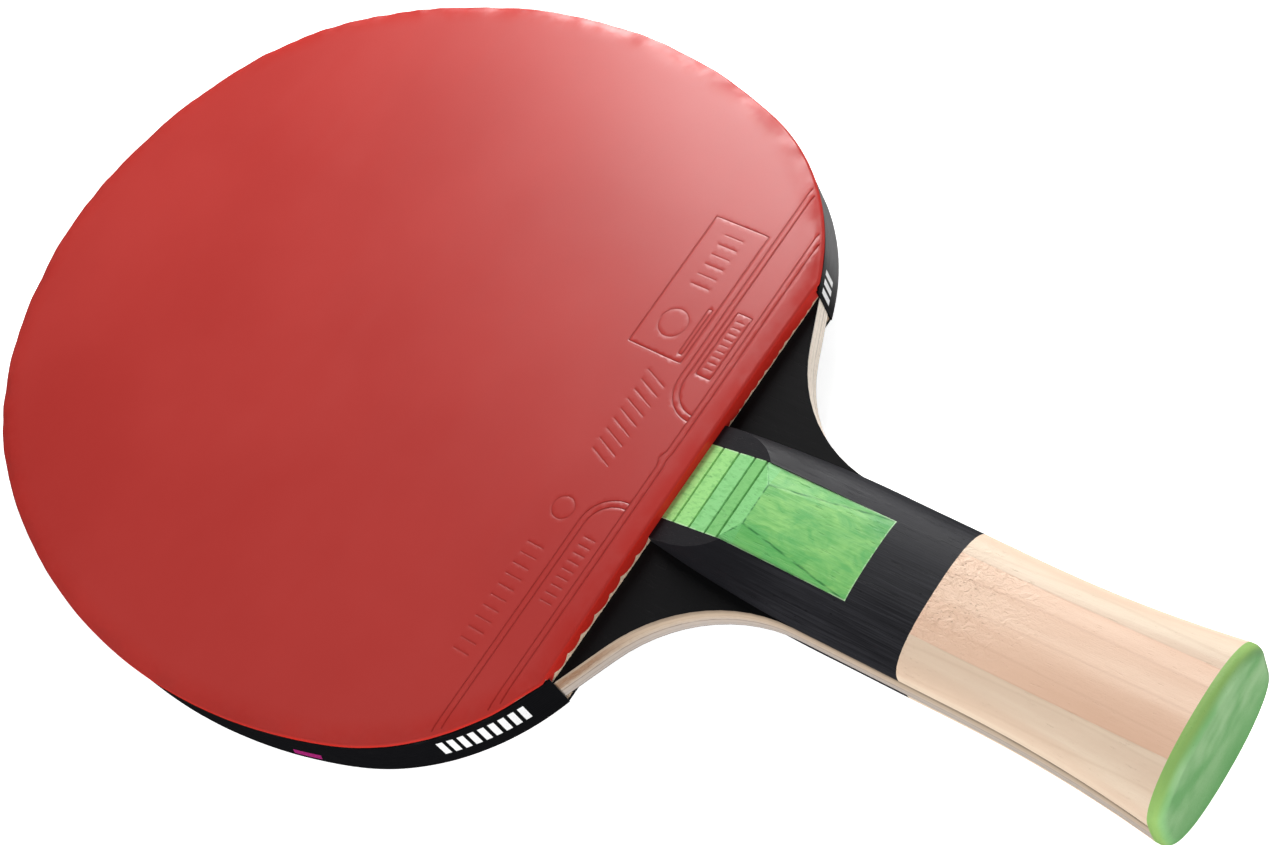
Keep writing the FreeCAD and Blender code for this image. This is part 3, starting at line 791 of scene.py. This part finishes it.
def sag(points, rim, most):
    """How far the sheet dips where it was pressed down, up to a limit: by its straight edge,
    most at the heels, and unevenly along its round rim."""
    edge = rim[:, 1].min()
    aside = np.clip((np.abs(points[:, 0]) - 12) / 30, 0, 1)
    near = np.clip(1 - (points[:, 1] - edge) / 5.0, 0, 1)
    straight = (0.16 + 0.55 * aside**2) * near**2
    away = path_distance(points, rim[rim[:, 1] > edge + 0.01])
    lumps = unevenness(points, (0.09, 3.3, 1.0), (0.3, 8, 0.6))
    lip = np.clip(1 - away / 2.6, 0, 1) ** 2 * np.clip(0.34 + 0.4 * lumps, 0.08, 0.6)
    rolled = np.clip(1 - away / 4.0, 0, 1) ** 2 * np.clip(0.26 + 0.22 * lumps, 0.04, 0.5)
    return np.minimum(np.maximum(straight, rolled) + lip, most)


def curtain_edge(x, foot, sign):
    """How low the rubber hangs along its straight edge: cut through rows of pimples, it ends
    in uneven scallops, wider and higher on the left than on the right."""
    pitch = np.where(x > 0, PIMPLE_PITCH, 1.8 * PIMPLE_PITCH)
    jitter = np.array([noise.noise(Vector((v * 0.35, 4.4, sign))) for v in x])
    tooth = np.abs(np.sin(np.pi * (x + 0.6 * jitter) / pitch)) ** 0.6
    left = np.clip((8 - x) / 20, 0, 1)
    tip = 0.35 + 0.15 * left + 0.25 * jitter
    return foot + sign * (tip + (0.45 + 0.55 * left) * (1 - tooth))


def sheet_loop(node, step, edge_step, grow=0.0):
    """The closed outline of a rubber: its curve, then its straight edge."""
    corners = node_outline(node)
    curve = smooth_through(corners, step)
    curve = curve + outward(curve, False) * grow
    count = round((curve[0] - curve[-1])[0] / edge_step)
    straight = np.linspace(curve[-1], curve[0], count + 1)[1:-1]
    return np.vstack([curve, straight])


def inset(loop, distance):
    """A closed loop moved inwards, its sides kept parallel."""
    return loop - mitres(loop) * distance


def depth_past(points, loop):
    """How far each point is out past a convex loop; it's less than 0 inside."""
    normals = outward(loop, True)
    return np.array([np.max(np.sum((p - loop) * normals, axis=1)) for p in points])


def free_points(rim, flat, marks):
    """Points spread over the flat of a sheet, closer together where the marks are, and clear
    of the marks' own points."""
    edge, tip = rim[:, 1].min(), rim[:, 1].max()
    marked = edge + MARKED_BAND
    grid = []
    for spacing, low, high in ((FINE_GRID, edge, marked), (2 * FINE_GRID, marked, tip)):
        columns = np.arange(rim[:, 0].min(), rim[:, 0].max(), spacing)
        rows = np.arange(low, high, spacing)
        grid += [(x + spacing / 2 * (k % 2), y) for k, y in enumerate(rows) for x in columns]
    grid = np.array(grid)
    grid = grid[depth_past(grid, flat) < -2 * FINE_GRID]
    grid = np.vstack([grid, inset(rim, 1.1), inset(rim, 1.8)])
    clear = np.ones(len(grid), bool)
    for path, closed, half_width, _ in marks:
        low, high = path.min(axis=0) - 1, path.max(axis=0) + 1
        close = np.all((grid >= low) & (grid <= high), axis=1)
        clear[close] &= path_distance(grid[close], path, closed) > half_width + 0.25
    return grid[clear]


def flat_triangles(rim, flat, marks):
    """Triangles over the flat of a sheet that follow its moulded marks: their points, the
    triangles, and the indices of their outer loop."""
    points, links = [], []

    def add_path(path, closed):
        """Add points, and links that the triangles have to follow."""
        first = len(points)
        points.extend(map(tuple, path))
        links.extend((first + k, first + k + 1) for k in range(len(path) - 1))
        if closed:
            links.append((len(points) - 1, first))

    add_path(flat, True)
    for path, closed, half_width, _ in marks:
        for loop, loop_closed in stroke_loops(path, closed, half_width):
            add_path(densified(loop, loop_closed, MARK_STEP), loop_closed)
    points.extend(map(tuple, free_points(rim, flat, marks)))
    made, _, faces, origins, _, _ = delaunay_2d_cdt(
        [Vector(p) for p in points], links, [], 0, 1e-4
    )
    place = {given: new for new, olds in enumerate(origins) for given in olds}
    outer = [place[k] for k in range(len(flat))]
    return np.array([tuple(p) for p in made]), [tuple(face) for face in faces], outer


def build_skin(side, material):
    """The smooth outer skin of a sheet, with moulded marks and a rounded rim. Along the
    straight edge it hangs down in front of the pimples. Gives the height of its underside."""
    node = side + "_topsheet"
    sign = SIDES[side]
    low, high = heights(node)
    top, under = (high, high - SKIN[side]) if sign > 0 else (low, low + SKIN[side])
    rim = sheet_loop(node, 0.8, 0.3)
    edge = rim[:, 1].min()
    flat = inset(rim, RIM)
    marks = maker_marks(edge, flat)
    xy, faces, previous = flat_triangles(rim, flat, marks)
    marked_depth = relief(xy, marks)
    waves = unevenness(xy, (0.035, 1.0 + sign, 0.05), (0.14, 6.0 + sign, 0.012))
    settled = -SKIN_SETTLE - sag(xy, rim, SKIN[side] - SAG_SPARE) + waves
    z = np.minimum(np.minimum(settled, 0) + marked_depth, 0.0)
    vertices = [(*p, top + sign * dz) for p, dz in zip(xy, z)]
    base = np.array([vertices[k][2] for k in previous])

    def carry_on(previous, loop, levels):
        """Carry the skin on from a ring of vertices to a new one, and give the new one."""
        current = list(range(len(vertices), len(vertices) + len(loop)))
        vertices.extend((x, y, level) for (x, y), level in zip(loop, levels))
        faces.extend(joined(previous, current))
        return current

    for step in range(1, RIM_STEPS + 1):
        turn = math.radians(90 * step / RIM_STEPS)
        lift = base - sign * RIM * (1 - math.cos(turn))
        previous = carry_on(previous, inset(rim, RIM * (1 - math.sin(turn))), lift)
    blade_face = heights(side + "_sponge")[(1 - sign) // 2]
    straight = rim[:, 1] < edge + 1e-3
    hangs = straight & (np.abs(rim[:, 0]) < rim[straight, 0].max() - HEEL_CLEAR)
    wall_foot = np.where(sign * (lift - under) < 0.05, lift - sign * 0.05, under)
    hanging = np.where(hangs, curtain_edge(rim[:, 0], blade_face, sign), wall_foot)
    level_under = np.full(len(rim), under)
    for back_by, levels in (
        (0.0, hanging), (CURTAIN, hanging), (CURTAIN, level_under), (PIMPLE_BAND, level_under)
    ):
        previous = carry_on(previous, inset(rim, back_by), levels)
    faces.append(tuple(reversed(previous)))
    if sign < 0:
        faces = flipped(faces)
    skin = mesh_object(side + "_rubber_skin", vertices, faces, material)
    creases = marked_depth / LINE_DEPTH
    near_rim = np.ones(len(vertices))
    near_rim[:len(xy)] = np.clip(1 - path_distance(xy, rim, True) / RIM_WEAR, 0, 1)
    add_attribute(skin, "crease", np.append(creases, np.zeros(len(vertices) - len(xy))))
    add_attribute(skin, "rim", near_rim)
    crisp(skin, 50)
    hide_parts(node)
    return under


def build_pimples(side, under, material):
    """The outer rows of pimples under a skin, sliced where the sheet was trimmed."""
    sign = SIDES[side]
    outline = sheet_loop(side + "_sponge", 1.0, 1.0, -0.05)
    foot = heights(side + "_sponge")[(sign + 1) // 2]
    turn = math.radians(PIMPLE_TURN)
    row_gap = PIMPLE_PITCH * math.sqrt(3) / 2
    centres = np.array([
        ((i + 0.5 * (j % 2)) * PIMPLE_PITCH, j * row_gap) for j in PIMPLE_ROWS for i in PIMPLE_ROWS
    ])
    spin = np.array([[math.cos(turn), math.sin(turn)], [-math.sin(turn), math.cos(turn)]])
    centres = centres @ spin + outline.mean(axis=0)
    depth = depth_past(centres, outline)
    centres = centres[(depth > 0.4 - PIMPLE_BAND) & (depth < PIMPLE_RADIUS * 0.75)]
    normals = outward(outline, True)
    circle = np.radians(np.arange(0, 360, 360 / PIMPLE_CORNERS))
    unit = np.column_stack([np.cos(circle), np.sin(circle)])
    vertices, faces = [], []
    for centre in centres:
        first = len(vertices)
        for width, share in PIMPLE_PROFILE:
            for point in centre + unit * PIMPLE_RADIUS * width:
                past = np.sum((point - outline) * normals, axis=1)
                if past.max() > 0:
                    point = point - normals[past.argmax()] * past.max()
                vertices.append((*point, foot + (under - foot) * share))
        for level in range(len(PIMPLE_PROFILE) - 1):
            start = first + level * PIMPLE_CORNERS
            faces += bridge(start, start + PIMPLE_CORNERS, PIMPLE_CORNERS)
        faces.append(tuple(range(first + PIMPLE_CORNERS - 1, first - 1, -1)))
    if sign < 0:
        faces = flipped(faces)
    mesh_object(side + "_rubber_pimples", vertices, faces, material)


def build_sponge(side):
    """A sponge with an uneven, torn cut along its straight edge."""
    node = side + "_sponge"
    low, high = heights(node)
    loop = sheet_loop(node, 1.0, 0.22)
    edge = loop[:, 1].min()
    count = len(loop)
    rows = 10
    normals = mitres(loop)
    straight = loop[:, 1] < edge + 1e-3
    vertices, faces = [], []
    for row in range(rows + 1):
        z = low + (high - low) * row / rows
        for (x, y), normal, cut in zip(loop, normals, straight):
            depth = 0.02
            if cut:
                rough = noise.noise(Vector((x * 2.1, 0, z * 2.1)))
                cell = noise.noise(Vector((x * 0.45, 3.7, z * 0.6)))
                depth += 0.07 + 0.07 * rough + 0.05 * cell
            vertices.append((x - normal[0] * depth, y - normal[1] * depth, z))
    for row in range(rows):
        faces += bridge(row * count, (row + 1) * count, count)
    faces.append(tuple(reversed(range(count))))
    faces.append(tuple(range(rows * count, (rows + 1) * count)))
    piece = mesh_object(side + "_foam", vertices, faces, SPONGE)
    crisp(piece, 60)
    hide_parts(node)


for side, material in (("front", RED), ("back", BLACK)):
    under = build_skin(side, material)
    build_pimples(side, under, material)
    build_sponge(side)

# -------- edge tape

# How far off the blade the tape's faces are, how soft its rims are, and where the ink lies.
TAPE_INNER, TAPE_OUTER = 0.02, 0.4
TAPE_EDGE = 0.12
INK_OUTSET = 0.405
# Plain bars: the first ones start by the tape's right end, and the last ones end, like the
# dash, at a distance from its left end.
BAR_WIDTH, BAR_STEP, BAR_HEIGHTS = 1.15, 1.86, (-1.4, 2.9)
FIRST_BARS, FIRST_BARS_START = 3, 0.9
LAST_BARS, LAST_BARS_END = 9, 5.5
DASH = (52.4, 46.6)
DASH_HEIGHTS, DASH_LEAN = (-3.4, -1.2), 0.8


def tape_path(step=1.0):
    """The line of the blade's edge under the tape, and its outward normals."""
    curve = smooth_through(node_outline("front_sponge"), step)
    return curve, outward(curve, False)


def tape_place(distance, outset):
    """The point on the tape at a distance from its right end, and a step off its face."""
    path, normals = tape_path(0.5)
    gaps = np.linalg.norm(np.diff(path, axis=0), axis=1)
    run = np.concatenate([[0], np.cumsum(gaps)])
    spots = path + normals * outset
    return np.array([np.interp(distance, run, spots[:, k]) for k in (0, 1)])


def build_tape():
    """Tape wound once round the head: soft edges, and a slight waviness of its rims."""
    low, high = heights("edge_tape")
    path, normals = tape_path()
    shoulder, corner = TAPE_OUTER - TAPE_EDGE, TAPE_OUTER - 0.04
    profile = (
        [(TAPE_INNER, low), (shoulder, low), (corner, low + 0.04)]
        + [(TAPE_OUTER, z) for z in np.linspace(low + TAPE_EDGE, high - TAPE_EDGE, 9)]
        + [(corner, high - 0.04), (shoulder, high), (TAPE_INNER, high)]
    )
    across = len(profile)
    vertices, faces = [], []
    for index, (point, normal) in enumerate(zip(path, normals)):
        ripple = 0.10 * noise.noise(Vector((index * 0.09, 7.1, 0)))
        squeeze = 1 - 0.012 - 0.012 * ripple
        for outset, z in profile:
            swell = 0.03 * noise.noise(Vector((index * 0.16, z * 0.25, 2.0)))
            out = outset + (swell - 0.03 if outset > 0.2 else 0)
            rim_shift = ripple * 0.4 * (abs(z) > 4)
            vertices.append((*(point + normal * out), z * squeeze + rim_shift))
    for index in range(len(path) - 1):
        faces += bridge(index * across, (index + 1) * across, across)
    faces.append(tuple(reversed(range(across))))
    faces.append(tuple(range((len(path) - 1) * across, len(path) * across)))
    tape = mesh_object("tape_band", vertices, flipped(faces), TAPE)
    crisp(tape, 60)
    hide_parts("edge_tape")


def patch(vertices, faces, start, end, levels, lean=0.0):
    """Add a thin printed patch on the tape between two distances and two heights."""
    steps = max(2, round((end - start) / 0.6))
    first = len(vertices)
    for level, shift in zip(levels, (0, lean)):
        for k in range(steps + 1):
            distance = start + (end - start) * k / steps + shift
            vertices.append((*tape_place(distance, INK_OUTSET), level))
    faces += bridge(first, first + steps + 1, steps + 1, closed=False)


def build_prints():
    """Plain bars by both ends of the tape, and one slanted dash."""
    length = float(np.linalg.norm(np.diff(tape_path()[0], axis=0), axis=1).sum())
    vertices, faces = [], []
    last_start = length - LAST_BARS_END - BAR_STEP * LAST_BARS
    for first, count in ((FIRST_BARS_START, FIRST_BARS), (last_start, LAST_BARS)):
        for k in range(count):
            start = first + BAR_STEP * k
            patch(vertices, faces, start, start + BAR_WIDTH, BAR_HEIGHTS)
    mesh_object("tape_bars", vertices, faces, WHITE_INK)
    vertices, faces = [], []
    patch(vertices, faces, length - DASH[0], length - DASH[1], DASH_HEIGHTS, DASH_LEAN)
    mesh_object("tape_accent", vertices, faces, PINK_INK)


build_tape()
build_prints()

# -------- blade and handle

STRIP_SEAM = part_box("front_centre_grip")[1].x / MM
DYE_LINE = 47.6
CENTRE_WOOD = pale_wood_material(
    "rose_grip_wood", (0.79, 0.535, 0.385), (0.89, 0.655, 0.495), ring=(0.60, 0.36, 0.25),
    pore=(0.40, 0.23, 0.14), pore_top=47.0, dye_line=DYE_LINE, seam=STRIP_SEAM, blush=0.65,
)
SIDE_WOOD = pale_wood_material(
    "pale_grip_wood", (0.70, 0.52, 0.385), (0.79, 0.65, 0.50), ring=(0.58, 0.41, 0.28),
    pore=(0.42, 0.3, 0.2), pore_top=60.0, dye_line=DYE_LINE, seam=STRIP_SEAM, blush=0.0,
)
DYED = dyed_wood_material(
    "dyed_handle_wood", (0.010, 0.010, 0.012), (0.032, 0.032, 0.037), (0.44, 0.6), 0.13
)
VENEER = dyed_wood_material(
    "dyed_veneer", (0.006, 0.006, 0.0065), (0.010, 0.010, 0.010), (0.5, 0.65), 0.06, bare_to=2.68
)
CROSS = ply_material("cross_ply_wood", (0.52, 0.40, 0.30), 0.3)
CORE = ply_material("core_ply_wood", (0.64, 0.54, 0.45), 0.3)
INLAY = inlay_material()
CAP = cap_material()

for name, node in nodes.items():
    if node.hide_render:
        continue
    kind = name.split("_", 1)[1]
    material = {
        "ply": CORE, "cross_ply": CROSS, "face_ply": VENEER, "inlay": INLAY, "cap": CAP,
        "centre_grip": CENTRE_WOOD, "left_grip": SIDE_WOOD, "right_grip": SIDE_WOOD,
    }.get(kind, DYED)
    node.data.materials.clear()
    node.data.materials.append(material)

# -------- studio

# The camera at the photograph's angle. Its roll is in degrees.
CAMERA_AT = Vector((-90.7, -91.4, 310.3)) * MM
CAMERA_AIM = Vector((9.48, 111.97, 0.0)) * MM
CAMERA_ROLL = -33.318
CAMERA_LENS = 62.18
CAMERA_SHIFT = (-0.02642, -0.00044)
# The backdrop's strength as light, in mirroring surfaces and as the camera sees it.
WORLD_LIGHT, WORLD_MIRRORED, WORLD_SEEN = 0.2, 0.02, 0.92
# Half the floor's side, and how far it lies under the paddle, in metres.
FLOOR_HALF, FLOOR_GAP = 3.0, 0.0002
LIGHTS_AIM = Vector((0, 0.13, 0))


def build_floor():
    """A flat square that touches the butt's underside and the head's tip."""
    butt_low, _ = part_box("butt_cap")
    head_low, head_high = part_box("back_topsheet")
    near = Vector((0, butt_low.y + 0.002, butt_low.z))
    far = Vector((0, head_high.y, head_low.z))
    along = (far - near).normalized() * FLOOR_HALF
    across = Vector((FLOOR_HALF, 0, 0))
    centre = (near + far) / 2 - Vector((0, 0, FLOOR_GAP))
    signs = ((-1, -1), (1, -1), (1, 1), (-1, 1))
    corners = [tuple(centre + across * a + along * b) for a, b in signs]
    mesh = bpy.data.meshes.new("floor")
    mesh.from_pydata(corners, [], [(0, 1, 2, 3)])
    floor = add_object("floor", mesh)
    floor.data.materials.append(floor_material())


def softbox(name, direction, distance, width, height, power, mirrored=True):
    """A rectangular soft light that looks at the middle of the paddle from a direction. One
    that isn't mirrored lights shiny surfaces without a reflection of its own."""
    light = bpy.data.lights.new(name, "AREA")
    light.shape = "RECTANGLE"
    light.size, light.size_y = width, height
    light.energy = power
    lamp = add_object(name, light)
    away = Vector(direction).normalized()
    lamp.location = LIGHTS_AIM + away * distance
    lamp.rotation_mode = "QUATERNION"
    lamp.rotation_quaternion = away.to_track_quat("Z", "Y")
    lamp.visible_glossy = mirrored
    lamp.visible_camera = False


def studio_world():
    """Even light from all round: a pale backdrop that shiny surfaces hardly mirror."""
    world = bpy.data.worlds.new("studio")
    world.use_nodes = True
    tree = world.node_tree
    background = tree.nodes["Background"]
    background.inputs["Color"].default_value = (0.97, 0.98, 1.0, 1)
    rays = tree.nodes.new("ShaderNodeLightPath")
    seen, level = (tree.nodes.new("ShaderNodeMapRange") for _ in range(2))
    seen.inputs["To Min"].default_value = WORLD_LIGHT
    seen.inputs["To Max"].default_value = WORLD_SEEN
    level.inputs["To Max"].default_value = WORLD_MIRRORED
    for output, target in (
        (rays.outputs["Is Camera Ray"], seen.inputs["Value"]),
        (rays.outputs["Is Glossy Ray"], level.inputs["Value"]),
        (seen.outputs["Result"], level.inputs["To Min"]),
        (level.outputs["Result"], background.inputs["Strength"]),
    ):
        tree.links.new(output, target)
    return world


def build_camera():
    """The camera, turned from its place to its aim and then rolled."""
    data = bpy.data.cameras.new("camera")
    data.lens, data.sensor_width = CAMERA_LENS, 36
    data.shift_x, data.shift_y = CAMERA_SHIFT
    data.clip_start, data.clip_end = 0.01, 20
    camera = add_object("camera", data)
    looking = (CAMERA_AIM - CAMERA_AT).to_track_quat("-Z", "Y")
    rolled = Matrix.Rotation(math.radians(CAMERA_ROLL), 3, "Z")
    camera.rotation_mode = "QUATERNION"
    camera.rotation_quaternion = (looking.to_matrix() @ rolled).to_quaternion()
    camera.location = CAMERA_AT
    bpy.context.scene.camera = camera


def build_studio():
    """A key light that makes the sheen on the rubber, fills all round, and the camera."""
    bpy.context.scene.world = studio_world()
    softbox("key", (0.735, 0.477, 0.482), 0.415, 0.179, 0.356, 2.87)
    softbox("left_fill", (-0.85, -0.45, 0.28), 1.2, 0.6, 0.6, 14, mirrored=False)
    softbox("right_fill", (0.9, -0.4, 0.16), 1.2, 0.6, 0.6, 6, mirrored=False)
    softbox("below", (0.0, -0.1, -1.0), 1.2, 1.2, 1.2, 5, mirrored=False)
    build_camera()
    bpy.context.scene.view_settings.view_transform = "Standard"


build_floor()
build_studio()
